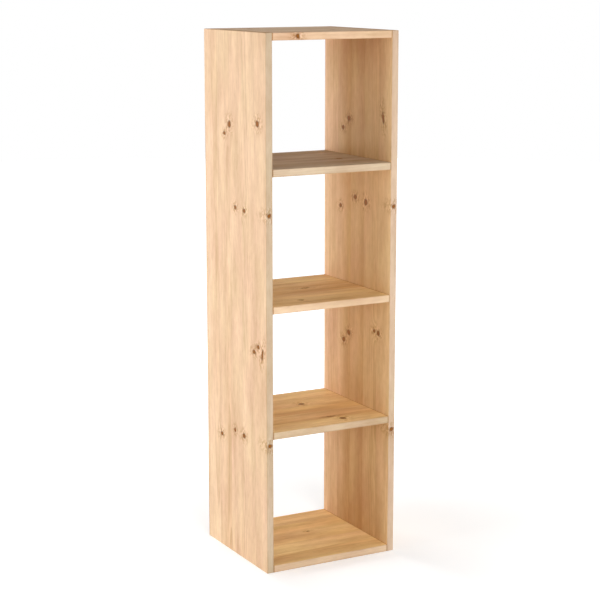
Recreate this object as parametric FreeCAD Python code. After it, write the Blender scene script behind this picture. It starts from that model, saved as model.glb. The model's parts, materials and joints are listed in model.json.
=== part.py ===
import FreeCAD, Part
import os

# Cube shelving unit: a column of four open bays in solid pine, held by concealed cam fixings.
# The origin is on the floor under the middle of the unit, +Z is up and the front faces -Y. Millimetres.

vector = FreeCAD.Vector

# Boards
overall_width = 362.0
overall_depth = 330.0
board_thickness = 18.0
arris_radius = 1.5

# Clear heights of the bays, from the top one down
top_bay_height = 300.0
upper_bay_height = 311.0
lower_bay_height = 292.0
bottom_bay_height = 320.0

# Rows of fixings, measured along the depth
bolt_edge_distance = 50.0
dowel_spacing = 32.0

# Cam bolt, screwed into a side panel up to its collar
thread_diameter = 5.0
thread_length = 11.0
tip_diameter = 3.0
tip_length = 2.0
collar_diameter = 7.2
collar_length = 2.0
shank_diameter = 5.4
neck_diameter = 3.8
head_diameter = 6.0

# Cam, turned in a blind bore in the underside of a board
cam_setback = 34.0
cam_wall = 1.1
cam_end_web = 1.0
cam_recess = 0.3
cam_eccentricity = 0.5
head_offset = 1.9
shank_gap = 0.7
drive_length = 6.4
drive_width = 1.5
drive_depth = 2.6
pointer_length = 1.8
pointer_width = 2.4
pointer_margin = 0.7
pointer_depth = 0.6

# Dowel, set partly in a side panel and partly in the end of a board
dowel_diameter = 8.0
dowel_depth_in_side = 10.0
dowel_depth_in_board = 20.0
dowel_chamfer = 1.0

# Clearances: radial, except at the closed end of a hole
hole_clearance = 0.2
hole_end_clearance = 1.0
collar_clearance = 0.4
cam_clearance = 0.3
head_clearance = 0.3
entry_clearance = 0.4
neck_clearance = 0.4
overrun = 5.0

# Boards between the sides, from the top one down, and the sizes that follow from the ones above
board_names = ["top_panel", "upper_shelf", "middle_shelf", "lower_shelf", "bottom_panel"]
bay_heights = [top_bay_height, upper_bay_height, lower_bay_height, bottom_bay_height]
overall_height = sum(bay_heights) + len(board_names) * board_thickness
board_length = overall_width - 2 * board_thickness

end_names = {-1: "left", 1: "right"}
row_names = {-1: "front", 1: "back"}
bolt_row_distance = overall_depth / 2 - bolt_edge_distance
dowel_row_distance = bolt_row_distance - dowel_spacing

head_radius = head_diameter / 2
cavity_half_height = head_radius + head_clearance
cavity_radius = head_offset + head_radius + head_clearance + cam_eccentricity
cam_radius = cavity_radius + cam_eccentricity + cam_wall
cam_bottom = cam_recess - board_thickness / 2
cam_top = cavity_half_height + cam_end_web

x_axis = vector(1, 0, 0)
z_axis = vector(0, 0, 1)


def middle_heights():
    """Height of each board's middle plane, from the top one down."""
    height = overall_height - board_thickness / 2
    heights = [height]
    for bay_height in bay_heights:
        height -= bay_height + board_thickness
        heights.append(height)
    return heights


def rod(diameter, start, end):
    """A cylinder along X from start to end."""
    return Part.makeCylinder(diameter / 2, end - start, vector(start, 0, 0), x_axis)


def placed(fixing, end, depth, height):
    """A copy of a fixing drawn at a left end, put in its place; at a right end it is turned half round."""
    copy = fixing.copy()
    if end > 0:
        copy.rotate(vector(0, 0, 0), z_axis, 180)
    copy.translate(vector(end * board_length / 2, depth, height))
    return copy


# Each fixing is drawn at a left end. Its axis meets the side panel's inner face at zero.
# +X runs into the board.


def cam_bolt():
    """Threaded end with a tapered tip, a collar that seats on the side panel, shank, neck and ball head."""
    ball_middle = cam_setback - head_offset
    neck_radius = neck_diameter / 2
    ball_start = ball_middle - (head_radius ** 2 - neck_radius ** 2) ** 0.5
    shank_end = cam_setback - cam_radius - shank_gap
    outline = [
        vector(-thread_length, 0, 0),
        vector(-thread_length, tip_diameter / 2, 0),
        vector(tip_length - thread_length, thread_diameter / 2, 0),
        vector(0, thread_diameter / 2, 0),
        vector(0, collar_diameter / 2, 0),
        vector(collar_length, collar_diameter / 2, 0),
        vector(collar_length, shank_diameter / 2, 0),
        vector(shank_end, shank_diameter / 2, 0),
        vector(shank_end, neck_radius, 0),
        vector(ball_start, neck_radius, 0),
    ]
    ball_top = vector(ball_middle, head_radius, 0)
    ball_end = vector(ball_middle + head_radius, 0, 0)
    edges = [Part.LineSegment(a, b).toShape() for a, b in zip(outline, outline[1:])]
    edges.append(Part.Arc(outline[-1], ball_top, ball_end).toShape())
    edges.append(Part.LineSegment(ball_end, outline[0]).toShape())
    return Part.Face(Part.Wire(edges)).revolve(vector(0, 0, 0), x_axis, 360)


def cross_recess():
    """Cross-shaped driver recess in the cam's outer face."""
    long_way = Part.makeBox(drive_length, drive_width, drive_depth + overrun)
    long_way.translate(vector(-drive_length / 2, -drive_width / 2, cam_bottom - overrun))
    cross_way = long_way.copy()
    cross_way.rotate(vector(0, 0, 0), z_axis, 90)
    return long_way.fuse(cross_way)


def pointer_notch():
    """Arrow notch in the cam's outer face, which points to the side where the bolt's head can enter."""
    point = cam_radius - pointer_margin
    base = point - pointer_length
    corners = [
        vector(point, 0, cam_bottom - overrun),
        vector(base, pointer_width / 2, cam_bottom - overrun),
        vector(base, -pointer_width / 2, cam_bottom - overrun),
    ]
    return Part.Face(Part.makePolygon(corners + corners[:1])).extrude(z_axis * (pointer_depth + overrun))


def cam():
    """Hollow drum at its locked turn. Turning it draws the ball head in, by the cavity being off centre."""
    drum = Part.makeCylinder(cam_radius, cam_top - cam_bottom, vector(0, 0, cam_bottom))
    cavity_base = vector(cam_eccentricity, 0, -cavity_half_height)
    cavity = Part.makeCylinder(cavity_radius, 2 * cavity_half_height, cavity_base)
    entry_hole = rod(head_diameter + 2 * entry_clearance, 0, cam_radius + overrun)
    slot_width = neck_diameter + 2 * neck_clearance
    slot_reach = cam_radius + overrun
    slot = Part.makeCylinder(slot_reach, slot_width, vector(0, 0, -slot_width / 2), z_axis, 180)
    slot.rotate(vector(0, 0, 0), z_axis, 180)
    slot_end = rod(slot_width, -slot_reach, 0)
    drum = drum.cut([cavity, entry_hole, slot, slot_end, cross_recess(), pointer_notch()])
    drum.translate(vector(cam_setback, 0, 0))
    return drum.Solids[0]


def dowel():
    """Plain beech dowel with chamfered ends."""
    peg = rod(dowel_diameter, -dowel_depth_in_side, dowel_depth_in_board)
    rims = [edge for edge in peg.Edges if len(edge.Vertexes) == 1]
    return peg.makeChamfer(dowel_chamfer, rims)


def bolt_holes_in_board():
    """Blind cam bore from the underside, and the bolt's bore into it from the end of the board."""
    bore_radius = cam_radius + cam_clearance
    bore_start = -board_thickness / 2 - overrun
    bore_end = cam_top + cam_clearance
    cam_bore = Part.makeCylinder(bore_radius, bore_end - bore_start, vector(cam_setback, 0, bore_start))
    bolt_bore = rod(collar_diameter + 2 * collar_clearance, -overrun, cam_setback)
    return cam_bore.fuse(bolt_bore)


def bolt_hole_in_side():
    """Pilot hole for the bolt's thread."""
    return rod(thread_diameter + 2 * hole_clearance, -thread_length - hole_end_clearance, overrun)


def dowel_hole_in_board():
    """Dowel hole in the end of a board."""
    return rod(dowel_diameter + 2 * hole_clearance, -overrun, dowel_depth_in_board + hole_end_clearance)


def dowel_hole_in_side():
    """Dowel hole in the inner face of a side panel."""
    return rod(dowel_diameter + 2 * hole_clearance, -dowel_depth_in_side - hole_end_clearance, overrun)


def rows_at_end(bolt_shape, dowel_shape, end, height):
    """The two bolt shapes and the two dowel shapes at one end of a board."""
    bolts = [placed(bolt_shape, end, row * bolt_row_distance, height) for row in row_names]
    dowels = [placed(dowel_shape, end, row * dowel_row_distance, height) for row in row_names]
    return bolts + dowels


def side_panel(end):
    """Full-height side with all its edges eased and a set of holes for each board in its inner face."""
    panel = Part.makeBox(board_thickness, overall_depth, overall_height)
    panel = panel.makeFillet(arris_radius, panel.Edges)
    middle = end * (overall_width - board_thickness) / 2
    panel.translate(vector(middle - board_thickness / 2, -overall_depth / 2, 0))
    holes = []
    for height in middle_heights():
        holes += rows_at_end(bolt_hole_in_side(), dowel_hole_in_side(), end, height)
    return panel.cut(holes).Solids[0]


def cross_board(height):
    """Board between the sides, eased along its front and back edges and square at its ends."""
    plank = Part.makeBox(board_length, overall_depth, board_thickness)
    long_edges = [edge for edge in plank.Edges if edge.Vertexes[0].X != edge.Vertexes[1].X]
    plank = plank.makeFillet(arris_radius, long_edges)
    plank.translate(vector(-board_length / 2, -overall_depth / 2, height - board_thickness / 2))
    holes = []
    for end in end_names:
        holes += rows_at_end(bolt_holes_in_board(), dowel_hole_in_board(), end, height)
    return plank.cut(holes).Solids[0]


def export(shape, name):
    """One file for each node."""
    shape.exportStep("parts/" + name + ".step")


def main():
    """Builds the sides, then each board with its cams, bolts and dowels."""
    os.makedirs("parts", exist_ok=True)
    for end, end_name in end_names.items():
        export(side_panel(end), end_name + "_side_panel")
    for board_name, height in zip(board_names, middle_heights()):
        export(cross_board(height), board_name)
        bolts = []
        dowels = []
        for end, end_name in end_names.items():
            for row, row_name in row_names.items():
                bolts.append(placed(cam_bolt(), end, row * bolt_row_distance, height))
                dowels.append(placed(dowel(), end, row * dowel_row_distance, height))
                turned_cam = placed(cam(), end, row * bolt_row_distance, height)
                export(turned_cam, "_".join(["cam", board_name, end_name, row_name]))
        export(Part.makeCompound(bolts), "cam_bolts_" + board_name)
        export(Part.makeCompound(dowels), "dowels_" + board_name)


main()
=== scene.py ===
import json
import math
from collections import namedtuple

import bmesh
import bpy
from mathutils import Matrix, Vector

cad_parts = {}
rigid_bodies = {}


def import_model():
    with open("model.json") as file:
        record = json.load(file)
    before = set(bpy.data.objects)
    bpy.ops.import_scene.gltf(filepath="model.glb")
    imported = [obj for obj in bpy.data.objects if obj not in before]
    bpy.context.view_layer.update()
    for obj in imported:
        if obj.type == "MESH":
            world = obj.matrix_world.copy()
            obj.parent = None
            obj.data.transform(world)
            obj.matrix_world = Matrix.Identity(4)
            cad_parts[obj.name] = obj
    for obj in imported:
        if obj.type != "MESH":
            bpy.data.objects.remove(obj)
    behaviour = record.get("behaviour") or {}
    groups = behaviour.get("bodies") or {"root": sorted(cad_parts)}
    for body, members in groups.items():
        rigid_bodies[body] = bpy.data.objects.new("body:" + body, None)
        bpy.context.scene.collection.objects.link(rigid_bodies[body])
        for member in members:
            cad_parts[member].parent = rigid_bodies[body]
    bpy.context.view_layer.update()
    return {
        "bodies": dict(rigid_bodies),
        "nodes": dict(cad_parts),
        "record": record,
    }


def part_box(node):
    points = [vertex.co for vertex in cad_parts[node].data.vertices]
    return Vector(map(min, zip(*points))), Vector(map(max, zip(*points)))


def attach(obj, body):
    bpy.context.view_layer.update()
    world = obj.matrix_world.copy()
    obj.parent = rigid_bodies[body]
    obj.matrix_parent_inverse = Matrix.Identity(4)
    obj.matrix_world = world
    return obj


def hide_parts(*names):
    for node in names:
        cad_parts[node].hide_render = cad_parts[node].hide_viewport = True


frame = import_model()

bl_info = {
    "name": "Pine Shelving Column",
    "version": (1, 0, 0),
    "blender": (4, 5, 0),
    "location": "3D View > Sidebar > Shelving",
    "description": "Finishes an open column of pine bays and its concealed fixings, and sets it on a stage",
    "category": "Object",
}

MM = 0.001
WHITE = (1, 1, 1, 1)
SIDE_PANELS = ("left_side_panel", "right_side_panel")
CROSS_BOARDS = ("top_panel", "upper_shelf", "middle_shelf", "lower_shelf", "bottom_panel")

# Inputs of Blender's Map Range node, and of its Mix node for colours
VALUE, FROM_LOW, FROM_HIGH, TO_LOW, TO_HIGH = range(5)
FACTOR, FIRST, SECOND = 0, 6, 7
# Settings of these nodes
SMOOTH = {"interpolation_type": "SMOOTHSTEP"}
MIXED = {"data_type": "RGBA"}
MULTIPLIED = {"data_type": "RGBA", "blend_type": "MULTIPLY"}
# Most of a noise lies in this span about its middle
NOISE_SPAN = {FROM_LOW: 0.3, FROM_HIGH: 0.7}
NOISE_MIDDLE = 0.5

# A board's axes are its thickness from the middle plane, its depth across, and its length along the grain.
# A knot's place and half sizes in them are in millimetres, and its lean is in degrees
Knot = namedtuple("Knot", "across along half_width half_length lean", defaults=(0.0,))
FACE_KNOTS = {
    "left_side_panel": (
        Knot(27, 1088, 8, 9), Knot(-122, 1100, 9, 8), Knot(55, 1064, 6.5, 4.5),
        Knot(-2, 888, 6.5, 5.5), Knot(-51, 885, 6.5, 5.5),
        Knot(-100, 546, 8, 5.5), Knot(-122, 562, 6.5, 5.5), Knot(-143, 547, 5, 13.5, 12),
        Knot(82, 297, 8, 5.5), Knot(7, 324, 5, 5.5), Knot(-43, 321, 8, 6.5),
    ),
    "right_side_panel": (
        Knot(41, 1087, 8, 6.5), Knot(69, 1062, 6.5, 5.5), Knot(-126, 1100, 5, 15.5, -10),
        Knot(80, 860, 6.5, 5.5), Knot(6, 890, 8, 5.5), Knot(-46, 883, 8, 8),
        Knot(35, 533, 8, 6.5), Knot(61, 510, 8, 6.5), Knot(-112, 558, 6.5, 6.5), Knot(-92, 561, 6.5, 4.5),
    ),
    "top_panel": (Knot(-60, 60, 6, 7), Knot(85, -95, 5, 6)),
    "upper_shelf": (Knot(70, -70, 5, 6), Knot(-30, 95, 4, 7)),
    "middle_shelf": (Knot(16, 22, 3, 13), Knot(-118, -60, 4, 5)),
    "lower_shelf": (Knot(45, 28, 7, 8), Knot(-126, 54, 9, 8), Knot(-98, 36, 3, 12)),
    "bottom_panel": (Knot(22, 36, 2.5, 5),),
}
# A knot runs right through the thickness
KNOT_HALF_DEPTH = 60 * MM
# Places along the grain in millimetres of knots in the front edges. The middle of such a knot lies in front
# of the edge, so that only its inner end is left in the board
EDGE_KNOTS = {
    "left_side_panel": (886, 324),
    "right_side_panel": (886, 321),
    "top_panel": (-96,),
}
EDGE_KNOT_LEAD = 10 * MM
EDGE_KNOT_RADII = (6.5 * MM, 18 * MM, 6.5 * MM)
EDGE_KNOT_PUSH = 4 * MM

# No two boards are alike: a flat-sawn board is deeper in colour on its heart side than on its bark side, and
# its planed edges are greyer. Most edges are also darker as painted shade, because they get less light than
# the faces. The upper shelf's upper face is darker and bluer as painted shade, because it gets the least
# light.
# Tints of the lower or left face, of the upper or right face, and of the edges
Tints = namedtuple("Tints", "low high edge")
BOARD_TINTS = {
    "left_side_panel": Tints("#FFFFFF", "#F4F3E0", "#DDE6EC"),
    "right_side_panel": Tints("#F5F2D8", "#FFFFFF", "#E9EEF6"),
    "top_panel": Tints("#F8F3E0", "#FAFCFF", "#FFFFFF"),
    # Painted shade: this shelf's upper face is darker and bluer, because it gets the least light of the
    # shelves
    "upper_shelf": Tints("#F4F3E0", "#D5E0E7", "#E4ECF2"),
    "middle_shelf": Tints("#F8F3E0", "#FFFFE2", "#F4F6F6"),
    "lower_shelf": Tints("#F8F3E0", "#FFFCDC", "#E3E8E8"),
    "bottom_panel": Tints("#F4F3E0", "#FFFEDC", "#F4F8FC"),
}
# One face's tint goes over into the other's within this distance of the middle plane
TINT_BLEND = 4 * MM
# A surface counts as facing along an axis from the first to the second share of its normal
FACING_SPAN = {FROM_LOW: 0.5, FROM_HIGH: 0.9}
# The rings show less on the planed edges
EDGE_RINGS = {TO_LOW: 1.0, TO_HIGH: 0.45}
# End grain soaks up the finish and looks darker. An eased arris is darker too, as painted shade where its
# rounding turns from the light
END_GRAIN_TONES = {TO_LOW: 1.0, TO_HIGH: 0.74}
ARRIS_PAINTED_SHADES = {FROM_LOW: 0.5 * MM, FROM_HIGH: 3 * MM, TO_LOW: 0.86, TO_HIGH: 1.0}
# A dry joint is a shadow line about 0.3 mm wide, drawn wider so that it shows
JOINT_WIDTH = 3.5 * MM
JOINT_TONES = {TO_LOW: 1.0, TO_HIGH: 0.40}
# The inner faces of the sides get painted light and shade: painted paler along their front and back edges,
# where light comes in, deeper in the middle of the depth, and deepest there near the ends, most of all under
# the top,
# where the top casts its shade: shares of the tone
INNER_EDGE_PAINTED_LIGHT = 0.10
INNER_MIDDLE_PAINTED_SHADE = 0.12
INNER_END_PAINTED_SHADE = 0.26
INNER_TOP_PAINTED_SHADE = 0.16
INNER_TOP_REACH = 170 * MM
# Painted light from the open back: their tint fades out to white towards the back edge, between these two
# distances behind the middle of the depth
INNER_PAINTED_LIGHT_FADE = {FROM_LOW: 40 * MM, FROM_HIGH: 160 * MM}

# A pattern in wood: the size of its grains in millimetres, its layers of finer detail, what its noise is
# spread to, and how far it is twisted
Pattern = namedtuple("Pattern", "size detail spread distortion", defaults=({}, 0.0))
# Fibres and resin canals are too fine to show at their real 0.1 mm, so they are drawn about 1.5 mm wide
FIBRES = Pattern((1.6, 1.6, 70), 3, {**NOISE_SPAN, TO_LOW: 0.98, TO_HIGH: 1.02})
CANALS = Pattern((1.3, 1.3, 16), 0, {FROM_LOW: 0.66, FROM_HIGH: 0.76, TO_LOW: 1.0, TO_HIGH: 0.90})
# Short flecks where the saw crosses the grain, and broad streaks of tone along it
FLECKS = Pattern((8, 8, 26), 3, {**NOISE_SPAN, TO_LOW: 0.92, TO_HIGH: 1.06})
STREAKS = Pattern((40, 32, 200), 2, {**NOISE_SPAN, TO_LOW: 0.85, TO_HIGH: 1.12})
# The streaks are stronger in the cross boards
SIDE_FIGURE = 1.0
CROSS_FIGURE = 1.6
# Pinker and yellower patches, to both sides of 0.5, which keeps a hue as it is
HUE_PATCHES = Pattern((60, 60, 160), 1, {**NOISE_SPAN, TO_LOW: 0.4945, TO_HIGH: 0.506})
# Curly flecks of browner and paler wood round a knot, and the ragged outline of the knot
CURLS = Pattern((4, 4, 9), 1.5, {FROM_LOW: 0.36, FROM_HIGH: 0.64, TO_LOW: 1.0, TO_HIGH: -0.36}, 0.8)
RAGGED = Pattern((6, 6, 6), 1)
RAGGED_REACH = 4 * MM
# A log isn't straight or round: a broad wander and a small ripple, and their depths
LOG_WAVES = ((Pattern((90, 90, 450), 1), 12 * MM), (Pattern((16, 16, 110), 1), 2.4 * MM))
# Beech has ray flecks 2 mm long and 0.2 mm wide, drawn wider so that they show
RAY_FLECKS = Pattern((2, 0.5, 0.5), 1, {FROM_LOW: 0.56, FROM_HIGH: 0.68, TO_LOW: 0.0, TO_HIGH: 0.55})

# Boards with seeds this far apart share no stave
BOARD_SEED = 20.0
# A stave draws its own part of a noise from within this length of it
STAVE_DRAW = 40.0
EVEN_CHANCE = 0.5
# The pith lies in or beside the stave, in stave widths, above or below the board, and leans along it
PITH_ACROSS = {TO_LOW: -0.5, TO_HIGH: 1.5}
PITH_DEPTH = {TO_LOW: 22 * MM, TO_HIGH: 62 * MM}
PITH_LEAN = {TO_LOW: -0.03, TO_HIGH: 0.03}
# Good and poor years follow each other over about five rings, and shift a ring by up to 1.6 ring widths
WEATHER_RATE = 0.22
WEATHER_DETAIL = 1.0
WEATHER_SHIFT = 1.6
# Late wood rises and drops within a year's growth, and is fainter in one year than in another
LATE_WOOD_RISE = {FROM_LOW: 0.30, FROM_HIGH: 0.90}
LATE_WOOD_DROP = {FROM_LOW: 0.92, FROM_HIGH: 1.0, TO_LOW: 1.0, TO_HIGH: 0.0}
LATE_WOOD_DEPTH = {TO_LOW: 0.10, TO_HIGH: 0.46}
# Heartwood goes over into sapwood between these distances from the pith
HEARTWOOD = {FROM_LOW: 30 * MM, FROM_HIGH: 60 * MM, TO_LOW: 1.0, TO_HIGH: 0.0}
STAVE_TONES = {TO_LOW: 0.97, TO_HIGH: 1.02}
GLUE_TONES = {TO_LOW: 0.88, TO_HIGH: 1.0}
# Where the wood is darker it is warmer too: its blue falls most and its red least
TONE_SHARES = (0.74, 1.01, 1.25)
# Round a knot, in knot radii: the rings part over about twice its width and four times its length, the wood
# is browner, and the branch's own rings are darkest at its rim
RING_PARTING = (0.5, 0.5, 0.24)
KNOT_HALO = {FROM_LOW: 1.0, FROM_HIGH: 4.6, TO_LOW: 1.0, TO_HIGH: 0.0}
KNOT_OUTLINE = {FROM_LOW: 0.66, FROM_HIGH: 1.34, TO_LOW: 1.0, TO_HIGH: 0.0}
BRANCH_RINGS = 3.5
BRANCH_RING_DEPTH = {TO_LOW: 0.0, TO_HIGH: 0.35}
BRANCH_RIM = {FROM_LOW: 0.55, FROM_HIGH: 0.95, TO_LOW: 0.0, TO_HIGH: 0.8}
FAR_FROM_KNOTS = 9.0
# A satin finish, which shines a little more on late wood. Fibres and late wood stand a little proud
PINE_ROUGHNESS = {TO_LOW: 0.72, TO_HIGH: 0.60}
FIBRE_HEIGHT = 0.6
PINE_RELIEF = {"Strength": 0.5, "Distance": 0.12 * MM}
PINE_SPECULAR = 0.12
# Unfinished beech is dry and matt
BEECH_RELIEF = {"Strength": 0.4, "Distance": 0.1 * MM}
BEECH_ROUGHNESS = 0.75
BEECH_SPECULAR = 0.2

# Roughness of plated steel and of a casting's skin, and the layers of finer detail and the relief of both
PLATING_GLOSS = {**NOISE_SPAN, TO_LOW: 0.22, TO_HIGH: 0.34}
CASTING_GLOSS = {**NOISE_SPAN, TO_LOW: 0.38, TO_HIGH: 0.55}
METAL_DETAIL = 4.0
METAL_RELIEF = {"Strength": 0.3, "Distance": 0.05 * MM}

# Steps of a turned bolt round its axis, for each turn of its thread too, and along its ball head
TURN_STEPS = 32
BALL_STEPS = 10
MERGE_DISTANCE = 0.001 * MM
# The thread's ridge: half its width in pitches, how deep its foot lies in the core, and its least share of
# its height, at which its crest lies in the core too
RIDGE_HALF_WIDTH = 0.3
RIDGE_FOOT = 0.2 * MM
RIDGE_LEAST = 0.1
# A flute has one corner at its bottom, and the rib beside it has two
FLUTE_CORNERS = 3
SHARP_ANGLE = math.radians(30)

# The lamps light the floor less far from the unit, where it has to meet the white surroundings, so there it
# glows more: distances in metres, and strengths
FLOOR_GLOW = {FROM_LOW: 0.45, FROM_HIGH: 2.2, TO_LOW: 0.25, TO_HIGH: 0.85}
FLOOR_COLOUR = "#EFEFEF"
FLOOR_CORNERS = 96
LAMP_AIM = Vector((0, 0, 0.66))
SoftBox = namedtuple("SoftBox", "name place size power")
SOFT_BOXES = (
    SoftBox("left_soft_box", (-3.2, 0.2, 1.8), 1.6, 35),
    SoftBox("back_left_soft_box", (-1.8, 1.0, 0.7), 0.8, 5),
    SoftBox("front_soft_box", (-0.3, -2.1, 0.95), 0.8, 18.5),
    SoftBox("high_soft_box", (-1.0, -2.8, 2.2), 1.0, 16.5),
    SoftBox("right_soft_box", (3.2, 0.4, 0.9), 1.4, 44),
    SoftBox("back_soft_box", (-0.4, 2.2, 0.8), 0.8, 23),
)


def linear(hex_colour):
    """An sRGB hex colour as linear red, green, blue and alpha."""
    channels = [int(hex_colour[i:i + 2], 16) / 255 for i in (1, 3, 5)]
    return [c / 12.92 if c <= 0.04045 else ((c + 0.055) / 1.055) ** 2.4 for c in channels] + [1.0]


def colour_property(name, description, hex_colour):
    """A colour setting, written as an sRGB hex value."""
    return bpy.props.FloatVectorProperty(
        name=name, description=description, subtype="COLOR", size=4, min=0, max=1,
        default=linear(hex_colour))


def length_property(name, description, millimetres):
    """A length setting, written in millimetres."""
    return bpy.props.FloatProperty(
        name=name, description=description, unit="LENGTH", default=millimetres * MM)


def angle_property(name, description, degrees):
    """An angle setting, written in degrees."""
    return bpy.props.FloatProperty(
        name=name, description=description, subtype="ANGLE", default=math.radians(degrees))


class PineSettings(bpy.types.PropertyGroup):
    """Colours and grain sizes of the pine boards."""
    early_wood: colour_property("Early wood", "Pale wood grown in spring", "#F2CFAB")
    late_wood: colour_property("Late wood", "Darker wood that ends each ring", "#CBA076")
    heart_tint: colour_property("Heartwood tint", "Deeper tone towards the pith", "#F4EBE0")
    knot_rim: colour_property("Knot rim", "Dark ring round a knot", "#6E4012")
    knot_halo: colour_property("Knot halo", "Resin-rich wood round a knot", "#D2BC9C")
    knot_heart: colour_property("Knot heart", "Wood of the branch itself", "#9C6028")
    stave_width: length_property("Stave width", "Width of the strips that a board is glued from", 66)
    glue_line_place: length_property("Glue line", "Place across the depth of one glue line", -38)
    glue_line_width: length_property("Glue line width", "A real one is 0.2 mm, drawn wider to show", 0.9)
    ring_width: length_property("Ring width", "Growth of one year", 3.4)


class CamSettings(bpy.types.PropertyGroup):
    """Looks of the cams."""
    casting: colour_property("Cast zinc", "Dull grey skin of a casting", "#B4B5B8")
    patch: length_property("Patch size", "Cloudy patches of gloss on the skin", 1.2)


class CamBoltSettings(bpy.types.PropertyGroup):
    """Sizes of a cam bolt, along its axis from its seat on the side panel, and its looks."""
    core_diameter: length_property("Core diameter", "Shank of the threaded end", 5)
    thread_diameter: length_property("Thread diameter", "Over the crests, which bite into the side panel", 6)
    thread_pitch: length_property("Thread pitch", "Coarse pitch for soft wood", 2.5)
    thread_length: length_property("Threaded end", "Length in the side panel", 11)
    tip_diameter: length_property("Tip diameter", "Small end of the tapered tip", 3)
    tip_length: length_property("Tip length", "Length of the tapered tip", 2)
    collar_diameter: length_property("Collar diameter", "Flange that seats on the side panel", 7.2)
    collar_length: length_property("Collar length", "Thickness of the flange", 2)
    collar_chamfer: length_property("Collar chamfer", "Eased corners of the flange", 0.3)
    shank_diameter: length_property("Shank diameter", "Plain rod in the end of the board", 5.4)
    shank_end: length_property("Shank end", "Where the neck starts", 26)
    neck_diameter: length_property("Neck diameter", "Thin part that the cam's slot goes round", 3.8)
    head_diameter: length_property("Head diameter", "Ball that the cam draws in", 6)
    head_place: length_property("Head place", "Middle of the ball", 32.1)
    plating: colour_property("Zinc plate", "Bright plating, faintly blue", "#C8CACF")
    patch: length_property("Patch size", "Cloudy patches of gloss on the plating", 3)


class DowelSettings(bpy.types.PropertyGroup):
    """Sizes of a fluted dowel, and its looks."""
    diameter: length_property("Diameter", "Over the ribs between the flutes", 8)
    depth_in_side: length_property("Depth in side", "Length in the side panel", 10)
    depth_in_board: length_property("Depth in board", "Length in the end of the board", 20)
    chamfer: length_property("Chamfer", "Tapered ends", 1)
    flute_depth: length_property("Flute depth", "Grooves that let the air out", 0.35)
    flutes: bpy.props.IntProperty(name="Flutes", description="Number of grooves", default=16, min=3)
    row_spacing: length_property("Row spacing", "From a bolt to the dowel beside it", 32)
    beech: colour_property("Beech", "Plain wood", "#DDB98E")
    ray: colour_property("Ray flecks", "Short dark flecks along the grain", "#A9784A")


class StageSettings(bpy.types.PropertyGroup):
    """Camera, surroundings and floor."""
    azimuth: angle_property("Azimuth", "Turn of the camera from the front", -28.555)
    elevation: angle_property("Elevation", "Tilt of the camera from level", 11.16)
    distance: length_property("Distance", "From the camera to the point that it looks at", 4222)
    aim_height: length_property("Aim height", "Height of the point that the camera looks at", 640)
    lens: bpy.props.FloatProperty(name="Lens", description="Focal length", unit="CAMERA", default=100.64)
    floor_radius: length_property("Floor radius", "Size of the round floor", 9000)
    ambient: bpy.props.FloatProperty(
        name="Ambient", description="Strength of the white surroundings", default=0.36)


def add(tree, kind, inputs=(), **settings):
    """Adds a shader node with settings and inputs, values or sockets, and gives its first live output."""
    made = tree.nodes.new("ShaderNode" + kind)
    for name, value in settings.items():
        setattr(made, name, value)
    for key, value in dict(inputs).items():
        if isinstance(value, bpy.types.NodeSocket):
            tree.links.new(value, made.inputs[key])
        else:
            made.inputs[key].default_value = value
    return next((socket for socket in made.outputs if socket.enabled), None)


def new_group(name, inputs, outputs):
    """A node group with named float, vector and colour sockets, and the sockets of its two end nodes."""
    tree = bpy.data.node_groups.new(name, "ShaderNodeTree")
    for direction, sockets in (("INPUT", inputs), ("OUTPUT", outputs)):
        for label, kind in sockets.items():
            tree.interface.new_socket(name=label, in_out=direction, socket_type="NodeSocket" + kind)
    return tree, tree.nodes.new("NodeGroupInput").outputs, tree.nodes.new("NodeGroupOutput").inputs


def new_material(name):
    """An empty node material and its tree."""
    material = bpy.data.materials.new(name)
    material.use_nodes = True
    material.node_tree.nodes.clear()
    return material, material.node_tree


def grain_noise(tree, place, pattern, draw=None):
    """The noise of a pattern in wood. With a draw, each stave has its own."""
    size = [side * MM for side in pattern.size]
    spread = add(tree, "VectorMath", {0: place, 1: size}, operation="DIVIDE")
    inputs = {"Vector": spread, "Scale": 1.0, "Detail": pattern.detail, "Distortion": pattern.distortion}
    if draw is None:
        return add(tree, "TexNoise", inputs)
    return add(tree, "TexNoise", {**inputs, "W": draw}, noise_dimensions="4D")


def knot_group():
    """One knot: keeps the least distance to a knot in knot radii, and how far knots push the rings aside."""
    tree, given, result = new_group(
        "pine_knot",
        {"Place": "Vector", "Nearest": "Float", "Swell": "Float", "Centre": "Vector", "Lean": "Vector",
         "Radii": "Vector", "Push": "Float"},
        {"Nearest": "Float", "Swell": "Float"})
    inside = add(tree, "Mapping",
                 {"Vector": given["Place"], "Location": given["Centre"], "Rotation": given["Lean"],
                  "Scale": given["Radii"]}, vector_type="TEXTURE")
    distance = add(tree, "VectorMath", {0: inside}, operation="LENGTH")
    nearest = add(tree, "Math", {0: given["Nearest"], 1: distance}, operation="MINIMUM")
    stretched = add(tree, "VectorMath", {0: inside, 1: RING_PARTING}, operation="MULTIPLY")
    reach = add(tree, "VectorMath", {0: stretched, 1: stretched}, operation="DOT_PRODUCT")
    fall = add(tree, "Math", {0: reach, 1: -1.0}, operation="MULTIPLY")
    fall = add(tree, "Math", {0: fall}, operation="EXPONENT")
    swell = add(tree, "Math", {0: fall, 1: given["Push"], 2: given["Swell"]}, operation="MULTIPLY_ADD")
    tree.links.new(nearest, result["Nearest"])
    tree.links.new(swell, result["Swell"])
    return tree


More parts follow.
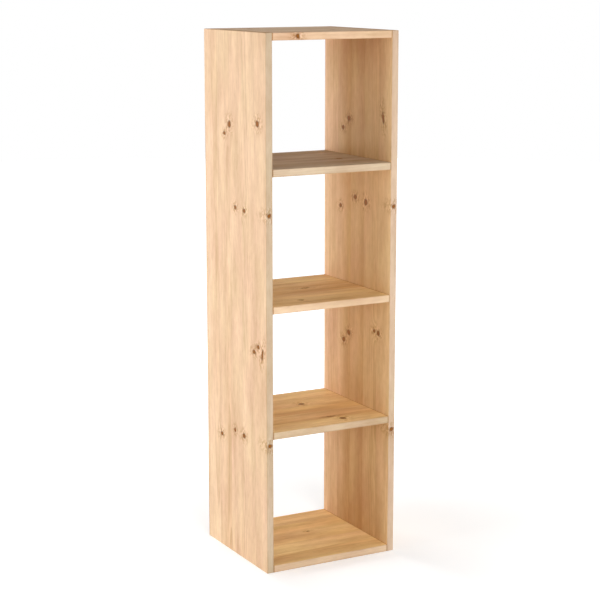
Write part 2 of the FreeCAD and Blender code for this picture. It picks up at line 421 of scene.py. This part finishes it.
def stave_at(tree, across, seed, pine):
    """How far across its stave a place lies, from 0 to 1, and four chances that are the stave's own."""
    staves = add(tree, "Math", {0: across, 1: pine.glue_line_place}, operation="SUBTRACT")
    staves = add(tree, "Math", {0: staves, 1: pine.stave_width}, operation="DIVIDE")
    stave = add(tree, "Math", {0: staves}, operation="FLOOR")
    within = add(tree, "Math", {0: staves}, operation="FRACT")
    key = add(tree, "Math", {0: stave, 1: seed}, operation="ADD")
    chance = add(tree, "TexWhiteNoise", {"W": key}, noise_dimensions="1D").node.outputs
    three = add(tree, "SeparateColor", {0: chance["Color"]}).node.outputs
    return within, (chance["Value"], *three)


def pith_distance(tree, axes, within, chances, pine):
    """Distance from the pith of a straight round log."""
    lean_chance, across_chance, side_chance, depth_chance = chances
    pith_across = add(tree, "MapRange", {VALUE: across_chance, **PITH_ACROSS})
    across = add(tree, "Math", {0: within, 1: pith_across}, operation="SUBTRACT")
    across = add(tree, "Math", {0: across, 1: pine.stave_width}, operation="MULTIPLY")
    side = add(tree, "Math", {0: side_chance, 1: EVEN_CHANCE}, operation="SUBTRACT")
    side = add(tree, "Math", {0: side}, operation="SIGN")
    depth = add(tree, "MapRange", {VALUE: depth_chance, **PITH_DEPTH})
    depth = add(tree, "Math", {0: depth, 1: side}, operation="MULTIPLY")
    lean = add(tree, "MapRange", {VALUE: lean_chance, **PITH_LEAN})
    depth = add(tree, "Math", {0: axes["Z"], 1: lean, 2: depth}, operation="MULTIPLY_ADD")
    thick = add(tree, "Math", {0: axes["X"], 1: depth}, operation="SUBTRACT")
    section = add(tree, "CombineXYZ", {0: across, 1: thick})
    return add(tree, "VectorMath", {0: section}, operation="LENGTH")


def late_wood(tree, radius, draw, rings, pine):
    """Share of late wood, ring by ring."""
    years = add(tree, "Math", {0: radius, 1: pine.ring_width}, operation="DIVIDE")
    weather = add(tree, "Math", {0: years, 1: WEATHER_RATE}, operation="MULTIPLY")
    weather = add(tree, "Math", {0: weather, 1: draw}, operation="ADD")
    weather = add(tree, "TexNoise", {"W": weather, "Scale": 1.0, "Detail": WEATHER_DETAIL},
                  noise_dimensions="1D")
    years = add(tree, "Math", {0: weather, 1: WEATHER_SHIFT, 2: years}, operation="MULTIPLY_ADD")
    season = add(tree, "Math", {0: years}, operation="FRACT")
    year = add(tree, "Math", {0: years}, operation="FLOOR")
    year = add(tree, "Math", {0: year, 1: draw}, operation="ADD")
    year = add(tree, "TexWhiteNoise", {"W": year}, noise_dimensions="1D")
    depth = add(tree, "MapRange", {VALUE: year, **LATE_WOOD_DEPTH})
    rise = add(tree, "MapRange", {VALUE: season, **LATE_WOOD_RISE}, **SMOOTH)
    drop = add(tree, "MapRange", {VALUE: season, **LATE_WOOD_DROP}, **SMOOTH)
    late = add(tree, "Math", {0: rise, 1: drop}, operation="MULTIPLY")
    late = add(tree, "Math", {0: late, 1: depth}, operation="MULTIPLY")
    return add(tree, "Math", {0: late, 1: rings}, operation="MULTIPLY")


def branch_over(tree, colour, nearest, pine):
    """Puts the knots themselves over a colour of the wood."""
    ring = add(tree, "Math", {0: nearest, 1: BRANCH_RINGS}, operation="MULTIPLY")
    ring = add(tree, "Math", {0: ring}, operation="FRACT")
    ring = add(tree, "MapRange", {VALUE: ring, **BRANCH_RING_DEPTH})
    rim = add(tree, "MapRange", {VALUE: nearest, **BRANCH_RIM})
    dark = add(tree, "Math", {0: ring, 1: rim}, operation="ADD", use_clamp=True)
    branch = add(tree, "Mix",
                 {FACTOR: dark, FIRST: list(pine.knot_heart), SECOND: list(pine.knot_rim)}, **MIXED)
    mask = add(tree, "MapRange", {VALUE: nearest, **KNOT_OUTLINE}, **SMOOTH)
    return add(tree, "Mix", {FACTOR: mask, FIRST: colour, SECOND: branch}, **MIXED)


def wood_group(pine):
    """Pine glued from staves, each sawn from its own log, in metres in a board's axes."""
    tree, given, result = new_group(
        "pine_wood",
        {"Place": "Vector", "Tint": "Color", "Shade": "Float", "Seed": "Float", "Rings": "Float",
         "Figure": "Float", "Nearest": "Float", "Swell": "Float"},
        {"Colour": "Color", "Roughness": "Float", "Height": "Float"})
    place = given["Place"]
    axes = add(tree, "SeparateXYZ", {0: place}).node.outputs
    within, chances = stave_at(tree, axes["Y"], given["Seed"], pine)
    draw = add(tree, "Math", {0: chances[0], 1: STAVE_DRAW}, operation="MULTIPLY")
    # Rings, which wander with the log and part round the knots
    radius = pith_distance(tree, axes, within, chances, pine)
    for pattern, depth in LOG_WAVES:
        wave = grain_noise(tree, place, pattern, draw)
        wave = add(tree, "Math", {0: wave, 1: NOISE_MIDDLE}, operation="SUBTRACT")
        radius = add(tree, "Math", {0: wave, 1: depth, 2: radius}, operation="MULTIPLY_ADD")
    radius = add(tree, "Math", {0: radius, 1: given["Swell"]}, operation="ADD")
    late = late_wood(tree, radius, draw, given["Rings"], pine)
    colour = add(tree, "Mix",
                 {FACTOR: late, FIRST: list(pine.early_wood), SECOND: list(pine.late_wood)}, **MIXED)
    heart = add(tree, "MapRange", {VALUE: radius, **HEARTWOOD})
    colour = add(tree, "Mix", {FACTOR: heart, FIRST: colour, SECOND: list(pine.heart_tint)}, **MULTIPLIED)
    # Tone: fibres, canals, flecks and streaks, each stave's own tone, and the glue lines
    fibres = grain_noise(tree, place, FIBRES)
    tone = add(tree, "MapRange", {VALUE: fibres, **FIBRES.spread})
    canals = grain_noise(tree, place, CANALS)
    canals = add(tree, "MapRange", {VALUE: canals, **CANALS.spread})
    flecks = grain_noise(tree, place, FLECKS, draw)
    flecks = add(tree, "MapRange", {VALUE: flecks, **FLECKS.spread})
    figure = grain_noise(tree, place, STREAKS, draw)
    figure = add(tree, "MapRange", {VALUE: figure, **STREAKS.spread})
    figure = add(tree, "Math", {0: figure, 1: 1.0}, operation="SUBTRACT")
    figure = add(tree, "Math", {0: figure, 1: given["Figure"], 2: 1.0}, operation="MULTIPLY_ADD")
    own = add(tree, "MapRange", {VALUE: chances[2], **STAVE_TONES})
    other = add(tree, "Math", {0: 1.0, 1: within}, operation="SUBTRACT")
    joint = add(tree, "Math", {0: within, 1: other}, operation="MINIMUM")
    joint = add(tree, "Math", {0: joint, 1: pine.stave_width}, operation="MULTIPLY")
    glue = add(tree, "MapRange",
               {VALUE: joint, FROM_LOW: 0.0, FROM_HIGH: pine.glue_line_width, **GLUE_TONES}, **SMOOTH)
    for part in (canals, flecks, figure, own, glue, given["Shade"]):
        tone = add(tree, "Math", {0: tone, 1: part}, operation="MULTIPLY")
    colour = add(tree, "Mix", {FACTOR: 1.0, FIRST: colour, SECOND: given["Tint"]}, **MULTIPLIED)
    # Browner wood round a knot, with its curls
    curls = grain_noise(tree, place, CURLS)
    curls = add(tree, "MapRange", {VALUE: curls, **CURLS.spread})
    halo = add(tree, "MapRange", {VALUE: given["Nearest"], **KNOT_HALO}, **SMOOTH)
    halo = add(tree, "Math", {0: halo, 1: curls}, operation="MULTIPLY")
    colour = add(tree, "Mix", {FACTOR: halo, FIRST: colour, SECOND: list(pine.knot_halo)},
                 **MULTIPLIED, clamp_factor=False)
    hue = grain_noise(tree, place, HUE_PATCHES, draw)
    hue = add(tree, "MapRange", {VALUE: hue, **HUE_PATCHES.spread})
    colour = add(tree, "HueSaturation", {"Hue": hue, "Color": colour})
    tone = add(tree, "Math", {0: tone, 1: 1.0}, operation="SUBTRACT")
    tone = add(tree, "VectorMath", {0: tone, 1: TONE_SHARES, 2: WHITE[:3]}, operation="MULTIPLY_ADD")
    colour = add(tree, "Mix", {FACTOR: 1.0, FIRST: colour, SECOND: tone}, **MULTIPLIED)
    colour = branch_over(tree, colour, given["Nearest"], pine)
    roughness = add(tree, "MapRange", {VALUE: late, **PINE_ROUGHNESS})
    height = add(tree, "Math", {0: fibres, 1: FIBRE_HEIGHT, 2: late}, operation="MULTIPLY_ADD")
    height = add(tree, "Math", {0: height, 1: glue}, operation="MULTIPLY")
    tree.links.new(colour, result["Colour"])
    tree.links.new(roughness, result["Roughness"])
    tree.links.new(height, result["Height"])
    return tree


def arris_painted_shade(tree, across, thick, thick_middle, half_depth, half_thickness):
    """Painted shade along the eased arrises, where both the face and the front or back edge are near."""
    to_edge = add(tree, "Math", {0: across}, operation="ABSOLUTE")
    to_edge = add(tree, "Math", {0: half_depth, 1: to_edge}, operation="SUBTRACT")
    to_face = add(tree, "Math", {0: thick, 1: thick_middle}, operation="SUBTRACT")
    to_face = add(tree, "Math", {0: to_face}, operation="ABSOLUTE")
    to_face = add(tree, "Math", {0: half_thickness, 1: to_face}, operation="SUBTRACT")
    arris = add(tree, "Math", {0: to_edge, 1: to_face}, operation="MAXIMUM")
    return add(tree, "MapRange", {VALUE: arris, **ARRIS_PAINTED_SHADES}, **SMOOTH)


def inner_painted_shade(tree, inner, axes, low, high):
    """Painted shade and light on a side's inner face, as a share of its tone."""
    middle, half = (low + high) / 2, (high - low) / 2
    depth = add(tree, "Math", {0: axes["Y"], 1: half.y}, operation="DIVIDE")
    depth = add(tree, "Math", {0: depth, 1: depth}, operation="MULTIPLY")
    depth = add(tree, "Math", {0: 1.0, 1: depth}, operation="SUBTRACT")
    end = add(tree, "Math", {0: axes["Z"], 1: middle.z}, operation="SUBTRACT")
    end = add(tree, "Math", {0: end, 1: half.z}, operation="DIVIDE")
    end = add(tree, "Math", {0: end, 1: end}, operation="MULTIPLY")
    loss = add(tree, "Math", {0: end, 1: INNER_END_PAINTED_SHADE, 2: INNER_MIDDLE_PAINTED_SHADE + INNER_EDGE_PAINTED_LIGHT},
               operation="MULTIPLY_ADD")
    under_top = add(tree, "MapRange",
                    {VALUE: axes["Z"], FROM_LOW: high.z - INNER_TOP_REACH, FROM_HIGH: high.z,
                     TO_LOW: 0.0, TO_HIGH: INNER_TOP_PAINTED_SHADE}, **SMOOTH)
    loss = add(tree, "Math", {0: loss, 1: under_top}, operation="ADD")
    loss = add(tree, "Math", {0: loss, 1: depth}, operation="MULTIPLY")
    tone = add(tree, "Math", {0: 1.0 + INNER_EDGE_PAINTED_LIGHT, 1: loss}, operation="SUBTRACT")
    return add(tree, "MapRange", {VALUE: inner, TO_LOW: 1.0, TO_HIGH: tone})


def knot_spots(board, front):
    """Middle, radii, lean and push of each knot in a board."""
    spots = [((0.0, knot.across * MM, knot.along * MM),
              (KNOT_HALF_DEPTH, knot.half_width * MM, knot.half_length * MM),
              math.radians(knot.lean), knot.half_width * MM) for knot in FACE_KNOTS[board]]
    spots += [((0.0, front - EDGE_KNOT_LEAD, along * MM), EDGE_KNOT_RADII, 0.0, EDGE_KNOT_PUSH)
              for along in EDGE_KNOTS.get(board, ())]
    return spots


def pine_material(board, seed, wood, knot):
    """Edge-glued pine, planed and clear finished: warm pale wood, soft rings, dark knots and a low sheen."""
    material, tree = new_material("edge_glued_pine_" + board)
    low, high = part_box(board)
    middle, half = (low + high) / 2, (high - low) / 2
    upright = board in SIDE_PANELS
    seen = add(tree, "TexCoord").node.outputs
    axes = add(tree, "SeparateXYZ", {0: seen["Object"]}).node.outputs
    facing = add(tree, "SeparateXYZ", {0: seen["Normal"]}).node.outputs
    if upright:
        thick, along, end_facing = axes["X"], axes["Z"], facing["Z"]
        thick_middle, half_thickness = middle.x, half.x
    else:
        thick, along, end_facing = axes["Z"], axes["X"], facing["X"]
        thick_middle, half_thickness = middle.z, half.z
    place = add(tree, "CombineXYZ", {0: thick, 1: axes["Y"], 2: along})
    place = add(tree, "VectorMath", {0: place, 1: (thick_middle, 0, 0)}, operation="SUBTRACT")
    # Tint of the two faces, and of the planed front and back edges, part of it painted shade
    low_tint, high_tint, edge_tint = (linear(tint) for tint in BOARD_TINTS[board])
    face_side = add(tree, "MapRange", {VALUE: thick, FROM_LOW: thick_middle - TINT_BLEND,
                                       FROM_HIGH: thick_middle + TINT_BLEND})
    tint = add(tree, "Mix", {FACTOR: face_side, FIRST: low_tint, SECOND: high_tint}, **MIXED)
    edge = add(tree, "Math", {0: facing["Y"]}, operation="ABSOLUTE")
    edge = add(tree, "MapRange", {VALUE: edge, **FACING_SPAN})
    tint = add(tree, "Mix", {FACTOR: edge, FIRST: tint, SECOND: edge_tint}, **MIXED)
    rings = add(tree, "MapRange", {VALUE: edge, **EDGE_RINGS})
    # Darker end grain and joint lines, and painted shade and light on the arrises and the sides' inner faces
    end = add(tree, "Math", {0: end_facing}, operation="ABSOLUTE")
    shade = add(tree, "MapRange", {VALUE: end, **FACING_SPAN, **END_GRAIN_TONES})
    # Painted shade along the arrises
    arris = arris_painted_shade(tree, axes["Y"], thick, thick_middle, half.y, half_thickness)
    shade = add(tree, "Math", {0: shade, 1: arris}, operation="MULTIPLY")
    if upright:
        # Painted shade and light on the inner face of a side, away from its edges
        inner = add(tree, "MapRange",
                    {VALUE: face_side, TO_LOW: float(middle.x > 0), TO_HIGH: float(middle.x < 0)})
        inner = add(tree, "MapRange", {VALUE: edge, TO_LOW: inner, TO_HIGH: 0.0})
        tone = inner_painted_shade(tree, inner, axes, low, high)
        # Painted light from the open back: the inner face's tint fades to white towards the back edge
        fade = add(tree, "MapRange", {VALUE: axes["Y"], **INNER_PAINTED_LIGHT_FADE, TO_LOW: 0.0, TO_HIGH: inner})
        tint = add(tree, "Mix", {FACTOR: fade, FIRST: tint, SECOND: WHITE}, **MIXED)
    else:
        reach = add(tree, "Math", {0: along}, operation="ABSOLUTE")
        tone = add(tree, "MapRange",
                   {VALUE: reach, FROM_LOW: high.x - JOINT_WIDTH, FROM_HIGH: high.x, **JOINT_TONES},
                   **SMOOTH)
    shade = add(tree, "Math", {0: shade, 1: tone}, operation="MULTIPLY")
    # Knots, with ragged outlines
    ragged = grain_noise(tree, place, RAGGED).node.outputs["Color"]
    ragged = add(tree, "VectorMath", {0: ragged, 1: [NOISE_MIDDLE] * 3}, operation="SUBTRACT")
    ragged = add(tree, "VectorMath", {0: ragged, 1: [RAGGED_REACH] * 3, 2: place}, operation="MULTIPLY_ADD")
    nearest, swell = FAR_FROM_KNOTS, 0.0
    for centre, radii, lean, push in knot_spots(board, low.y):
        found = add(tree, "Group",
                    {"Place": ragged, "Nearest": nearest, "Swell": swell, "Centre": centre,
                     "Lean": (lean, 0, 0), "Radii": radii, "Push": push}, node_tree=knot).node.outputs
        nearest, swell = found["Nearest"], found["Swell"]
    looks = add(tree, "Group",
                {"Place": place, "Tint": tint, "Shade": shade, "Seed": seed, "Rings": rings,
                 "Figure": SIDE_FIGURE if upright else CROSS_FIGURE, "Nearest": nearest, "Swell": swell},
                node_tree=wood).node.outputs
    bump = add(tree, "Bump", {**PINE_RELIEF, "Height": looks["Height"]})
    shader = add(tree, "BsdfPrincipled",
                 {"Base Color": looks["Colour"], "Roughness": looks["Roughness"], "Normal": bump,
                  "Specular IOR Level": PINE_SPECULAR})
    add(tree, "OutputMaterial", {"Surface": shader})
    return material


def metal_material(name, colour, gloss, patch):
    """Bare metal with cloudy patches of gloss."""
    material, tree = new_material(name)
    seen = add(tree, "TexCoord").node.outputs["Object"]
    cloud = add(tree, "TexNoise", {"Vector": seen, "Scale": 1 / patch, "Detail": METAL_DETAIL})
    roughness = add(tree, "MapRange", {VALUE: cloud, **gloss})
    bump = add(tree, "Bump", {**METAL_RELIEF, "Height": cloud})
    shader = add(tree, "BsdfPrincipled",
                 {"Base Color": list(colour), "Metallic": 1.0, "Roughness": roughness, "Normal": bump})
    add(tree, "OutputMaterial", {"Surface": shader})
    return material


def beech_material(dowel):
    """Turned beech: plain pinkish tan wood, with short dark ray flecks along the grain and no finish."""
    material, tree = new_material("turned_beech")
    seen = add(tree, "TexCoord").node.outputs["Object"]
    flecks = grain_noise(tree, seen, RAY_FLECKS)
    amount = add(tree, "MapRange", {VALUE: flecks, **RAY_FLECKS.spread})
    colour = add(tree, "Mix", {FACTOR: amount, FIRST: list(dowel.beech), SECOND: list(dowel.ray)},
                 **MIXED)
    bump = add(tree, "Bump", {**BEECH_RELIEF, "Height": flecks})
    shader = add(tree, "BsdfPrincipled",
                 {"Base Color": colour, "Roughness": BEECH_ROUGHNESS, "Normal": bump,
                  "Specular IOR Level": BEECH_SPECULAR})
    add(tree, "OutputMaterial", {"Surface": shader})
    return material


def dress(node, material):
    """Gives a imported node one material."""
    mesh = frame["nodes"][node].data
    mesh.materials.clear()
    mesh.materials.append(material)


def finish_boards(context, boards):
    """Gives each board its own pine. The node groups are made once and shared."""
    groups = bpy.data.node_groups
    wood = groups.get("pine_wood") or wood_group(context.scene.shelf_pine)
    knot = groups.get("pine_knot") or knot_group()
    for board in boards:
        seed = BOARD_SEED * (1 + (SIDE_PANELS + CROSS_BOARDS).index(board))
        dress(board, pine_material(board, seed, wood, knot))


def cam_bolt(bolt):
    """A cam bolt at a left end of a board, turned about X, with a thread wound round its core."""
    made = bmesh.new()
    ball = bolt.head_diameter / 2
    neck = math.asin(bolt.neck_diameter / bolt.head_diameter)
    arc = [(math.pi - neck) * (1 - step / BALL_STEPS) for step in range(BALL_STEPS + 1)]
    flange = bolt.collar_diameter / 2
    outline = [
        (-bolt.thread_length, 0),
        (-bolt.thread_length, bolt.tip_diameter / 2),
        (bolt.tip_length - bolt.thread_length, bolt.core_diameter / 2),
        (0, bolt.core_diameter / 2),
        (0, flange - bolt.collar_chamfer),
        (bolt.collar_chamfer, flange),
        (bolt.collar_length - bolt.collar_chamfer, flange),
        (bolt.collar_length, flange - bolt.collar_chamfer),
        (bolt.collar_length, bolt.shank_diameter / 2),
        (bolt.shank_end, bolt.shank_diameter / 2),
        (bolt.shank_end, bolt.neck_diameter / 2),
    ]
    outline += [(bolt.head_place + ball * math.cos(turn), ball * math.sin(turn)) for turn in arc]
    points = [made.verts.new((along, radius, 0)) for along, radius in outline]
    lines = [made.edges.new(pair) for pair in zip(points, points[1:])]
    bmesh.ops.spin(made, geom=points + lines, axis=(1, 0, 0), cent=(0, 0, 0), angle=math.tau,
                   steps=TURN_STEPS, use_merge=True)
    bmesh.ops.remove_doubles(made, verts=made.verts, dist=MERGE_DISTANCE)
    wind_thread(made, bolt)
    return made


def wind_thread(made, bolt):
    """Winds the thread's ridge round the core. It sinks into the core over half a turn at each end."""
    start = bolt.tip_length - bolt.thread_length
    turns = int(-start / bolt.thread_pitch)
    half = RIDGE_HALF_WIDTH * bolt.thread_pitch
    core = bolt.core_diameter / 2
    root = core - RIDGE_FOOT
    crest = bolt.thread_diameter / 2
    corners = ((-half, root), (0, crest), (half, root))
    section = [made.verts.new((start + along, radius, 0)) for along, radius in corners]
    lines = [made.edges.new((section[corner - 1], section[corner])) for corner in range(len(section))]
    bmesh.ops.spin(made, geom=section + lines, axis=(1, 0, 0), cent=(0, 0, 0), angle=math.tau * turns,
                   steps=TURN_STEPS * turns, dvec=(bolt.thread_pitch / TURN_STEPS, 0, 0))
    bmesh.ops.holes_fill(made, edges=made.edges, sides=len(section))
    end = start + turns * bolt.thread_pitch
    run_out = bolt.thread_pitch / 2
    for vertex in made.verts:
        radius = math.hypot(vertex.co.y, vertex.co.z)
        if vertex.co.x <= end + half and radius > (core + crest) / 2:
            share = min(vertex.co.x - start, end - vertex.co.x, run_out) / run_out
            sunk = (root + (crest - root) * max(share, RIDGE_LEAST)) / radius
            bmesh.ops.scale(made, vec=(1, sunk, sunk), verts=[vertex])


def fluted_dowel(dowel):
    """A dowel at a left end of a board, along X, with flutes pressed along it and tapered ends."""
    made = bmesh.new()
    radius = dowel.diameter / 2
    corners = FLUTE_CORNERS * dowel.flutes
    rim = bmesh.ops.create_circle(made, cap_ends=True, segments=corners, radius=radius)["verts"]
    for corner, vertex in enumerate(rim):
        if corner % FLUTE_CORNERS == 0:
            vertex.co *= 1 - dowel.flute_depth / radius
    length = dowel.depth_in_side + dowel.depth_in_board
    small = 1 - dowel.chamfer / radius
    bmesh.ops.scale(made, vec=(small, small, 1), verts=rim)
    cap = made.faces[:][0]
    for rise, grow in ((dowel.chamfer, 1 / small), (length - 2 * dowel.chamfer, 1), (dowel.chamfer, small)):
        raised = bmesh.ops.extrude_face_region(made, geom=[cap] + cap.edges[:])["geom"]
        cap = next(part for part in raised if isinstance(part, bmesh.types.BMFace))
        bmesh.ops.translate(made, vec=(0, 0, rise), verts=cap.verts[:])
        bmesh.ops.scale(made, vec=(grow, grow, 1), verts=cap.verts[:])
    lie = Matrix.Translation((-dowel.depth_in_side, 0, 0)) @ Matrix.Rotation(math.pi / 2, 4, "Y")
    bmesh.ops.transform(made, matrix=lie, verts=made.verts)
    return made


def set_in_rows(made, board, row):
    """Copies a fixing drawn at a left end to both ends of a board, in two rows, and turns the right ones."""
    low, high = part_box(board)
    drawn = made.verts[:] + made.edges[:] + made.faces[:]
    for end, turn in ((low.x, 0), (high.x, math.pi)):
        for depth in (-row, row):
            copy = bmesh.ops.duplicate(made, geom=drawn)["geom"]
            verts = [part for part in copy if isinstance(part, bmesh.types.BMVert)]
            place = Matrix.Translation((end, depth, (low.z + high.z) / 2)) @ Matrix.Rotation(turn, 4, "Z")
            bmesh.ops.transform(made, matrix=place, verts=verts)
    first = [part for part in drawn if isinstance(part, bmesh.types.BMVert)]
    bmesh.ops.delete(made, geom=first, context="VERTS")


def add_piece(context, name, made, material, node):
    """Makes a piece of the carcass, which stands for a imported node."""
    bmesh.ops.recalc_face_normals(made, faces=made.faces)
    mesh = bpy.data.meshes.new(name)
    made.to_mesh(mesh)
    made.free()
    mesh.materials.append(material)
    mesh.shade_smooth()
    mesh.set_sharp_from_angle(angle=SHARP_ANGLE)
    piece = bpy.data.objects.new(name, mesh)
    context.scene.collection.objects.link(piece)
    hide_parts(node)
    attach(piece, "carcass")


def bolt_row():
    """Distance of the rows of bolts and cams from the middle of the depth."""
    return abs(frame["record"]["behaviour"]["joints"][0]["pos_m"][1])


class SHELF_OT_finish_side_panels(bpy.types.Operator):
    """Finish the two sides in edge-glued pine"""
    bl_idname = "shelf.finish_side_panels"
    bl_label = "Finish side panels"

    def execute(self, context):
        finish_boards(context, SIDE_PANELS)
        return {"FINISHED"}


class SHELF_OT_finish_cross_boards(bpy.types.Operator):
    """Finish the top, the shelves and the bottom in edge-glued pine"""
    bl_idname = "shelf.finish_cross_boards"
    bl_label = "Finish cross boards"

    def execute(self, context):
        finish_boards(context, CROSS_BOARDS)
        return {"FINISHED"}


class SHELF_OT_finish_cams(bpy.types.Operator):
    """Finish the cams in die-cast zinc"""
    bl_idname = "shelf.finish_cams"
    bl_label = "Finish cams"

    def execute(self, context):
        cam = context.scene.shelf_cam
        # A casting's skin: dull grey, with broad soft highlights
        cast = metal_material("die_cast_zinc", cam.casting, CASTING_GLOSS, cam.patch)
        cams = [body for body in frame["bodies"] if body.startswith("cam_")]
        if not cams:
            raise RuntimeError("The frame has no cams")
        for body in cams:
            dress(body, cast)
        return {"FINISHED"}


class SHELF_OT_make_cam_bolts(bpy.types.Operator):
    """Make the threaded cam bolts of every board in zinc-plated steel"""
    bl_idname = "shelf.make_cam_bolts"
    bl_label = "Make cam bolts"

    def execute(self, context):
        bolt = context.scene.shelf_cam_bolt
        # Bright plating on turned steel: pale and faintly blue, with narrow highlights
        plated = metal_material("zinc_plated_steel", bolt.plating, PLATING_GLOSS, bolt.patch)
        for board in CROSS_BOARDS:
            made = cam_bolt(bolt)
            set_in_rows(made, board, bolt_row())
            add_piece(context, "threaded_cam_bolts_" + board, made, plated, "cam_bolts_" + board)
        return {"FINISHED"}


class SHELF_OT_make_dowels(bpy.types.Operator):
    """Make the fluted dowels of every board in beech"""
    bl_idname = "shelf.make_dowels"
    bl_label = "Make dowels"

    def execute(self, context):
        dowel = context.scene.shelf_dowel
        beech = beech_material(dowel)
        for board in CROSS_BOARDS:
            made = fluted_dowel(dowel)
            set_in_rows(made, board, bolt_row() - dowel.row_spacing)
            add_piece(context, "fluted_dowels_" + board, made, beech, "dowels_" + board)
        return {"FINISHED"}


class SHELF_OT_set_stage(bpy.types.Operator):
    """Make the floor, the lamps, the surroundings and the camera"""
    bl_idname = "shelf.set_stage"
    bl_label = "Set stage"

    def execute(self, context):
        stage = context.scene.shelf_stage
        self.floor(context, stage)
        self.surroundings(context, stage)
        self.lamps(context)
        self.camera(context, stage)
        context.scene.view_settings.view_transform = "Standard"
        return {"FINISHED"}

    def seen_directly(self, tree):
        """One where the camera, or a glossy or clear surface, sees the stage, and zero for soft light."""
        rays = add(tree, "LightPath").node.outputs
        seen = add(tree, "Math", {0: rays["Is Camera Ray"], 1: rays["Is Glossy Ray"]},
                   operation="MAXIMUM")
        return add(tree, "Math", {0: seen, 1: rays["Is Transmission Ray"]}, operation="MAXIMUM")

    def floor(self, context, stage):
        """A round pale floor, which looks white but keeps the shadow."""
        mesh = bpy.data.meshes.new("floor")
        made = bmesh.new()
        bmesh.ops.create_circle(made, cap_ends=True, segments=FLOOR_CORNERS, radius=stage.floor_radius)
        made.to_mesh(mesh)
        made.free()
        floor = bpy.data.objects.new("floor", mesh)
        context.scene.collection.objects.link(floor)
        material, tree = new_material("white_studio_floor")
        matt = add(tree, "BsdfDiffuse", {"Color": linear(FLOOR_COLOUR)})
        place = add(tree, "TexCoord").node.outputs["Object"]
        distance = add(tree, "VectorMath", {0: place}, operation="LENGTH")
        glow = add(tree, "MapRange", {VALUE: distance, **FLOOR_GLOW})
        glow = add(tree, "Math", {0: self.seen_directly(tree), 1: glow}, operation="MULTIPLY")
        glow = add(tree, "Emission", {"Strength": glow})
        both = add(tree, "AddShader", {0: matt, 1: glow})
        add(tree, "OutputMaterial", {"Surface": both})
        mesh.materials.append(material)

    def surroundings(self, context, stage):
        """White all round where it is seen, and an even soft light."""
        world = bpy.data.worlds.new("white_studio")
        world.use_nodes = True
        tree = world.node_tree
        tree.nodes.clear()
        strength = add(tree, "MapRange",
                       {VALUE: self.seen_directly(tree), TO_LOW: stage.ambient, TO_HIGH: 1.0})
        white = add(tree, "Background", {"Strength": strength, "Color": WHITE})
        add(tree, "OutputWorld", {"Surface": white})
        context.scene.world = world

    def lamps(self, context):
        """Soft boxes, each aimed at the middle of the unit."""
        for box in SOFT_BOXES:
            data = bpy.data.lights.new(box.name, "AREA")
            data.shape = "SQUARE"
            data.size = box.size
            data.energy = box.power
            lamp = bpy.data.objects.new(box.name, data)
            lamp.location = box.place
            lamp.rotation_euler = (LAMP_AIM - Vector(box.place)).to_track_quat("-Z", "Y").to_euler()
            lamp.visible_camera = False
            context.scene.collection.objects.link(lamp)

    def camera(self, context, stage):
        """A camera at the front left, looking a little down."""
        data = bpy.data.cameras.new("camera")
        data.lens = stage.lens
        camera = bpy.data.objects.new("camera", data)
        back = Vector((math.sin(stage.azimuth) * math.cos(stage.elevation),
                       -math.cos(stage.azimuth) * math.cos(stage.elevation), math.sin(stage.elevation)))
        camera.location = Vector((0, 0, stage.aim_height)) + back * stage.distance
        camera.rotation_euler = (-back).to_track_quat("-Z", "Y").to_euler()
        context.scene.collection.objects.link(camera)
        context.scene.camera = camera


class SHELF_PT_steps(bpy.types.Panel):
    """Steps that finish the shelving column"""
    bl_idname = "SHELF_PT_steps"
    bl_label = "Shelving column"
    bl_space_type = "VIEW_3D"
    bl_region_type = "UI"
    bl_category = "Shelving"

    def draw(self, context):
        for operator in OPERATORS:
            self.layout.operator(operator.bl_idname)
        for name in SETTINGS:
            settings = getattr(context.scene, name)
            box = self.layout.box()
            for setting in settings.__annotations__:
                box.prop(settings, setting)


OPERATORS = (SHELF_OT_finish_side_panels, SHELF_OT_finish_cross_boards, SHELF_OT_finish_cams,
             SHELF_OT_make_cam_bolts, SHELF_OT_make_dowels, SHELF_OT_set_stage)
SETTINGS = {"shelf_pine": PineSettings, "shelf_cam": CamSettings, "shelf_cam_bolt": CamBoltSettings,
            "shelf_dowel": DowelSettings, "shelf_stage": StageSettings}
CLASSES = tuple(SETTINGS.values()) + OPERATORS + (SHELF_PT_steps,)


def register():
    for each in CLASSES:
        bpy.utils.register_class(each)
    for name, group in SETTINGS.items():
        setattr(bpy.types.Scene, name, bpy.props.PointerProperty(type=group))


def unregister():
    for name in SETTINGS:
        delattr(bpy.types.Scene, name)
    for each in reversed(CLASSES):
        bpy.utils.unregister_class(each)


def main():
    """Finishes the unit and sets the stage."""
    register()
    bpy.ops.shelf.finish_side_panels()
    bpy.ops.shelf.finish_cross_boards()
    bpy.ops.shelf.finish_cams()
    bpy.ops.shelf.make_cam_bolts()
    bpy.ops.shelf.make_dowels()
    bpy.ops.shelf.set_stage()


if __name__ == "__main__":
    main()
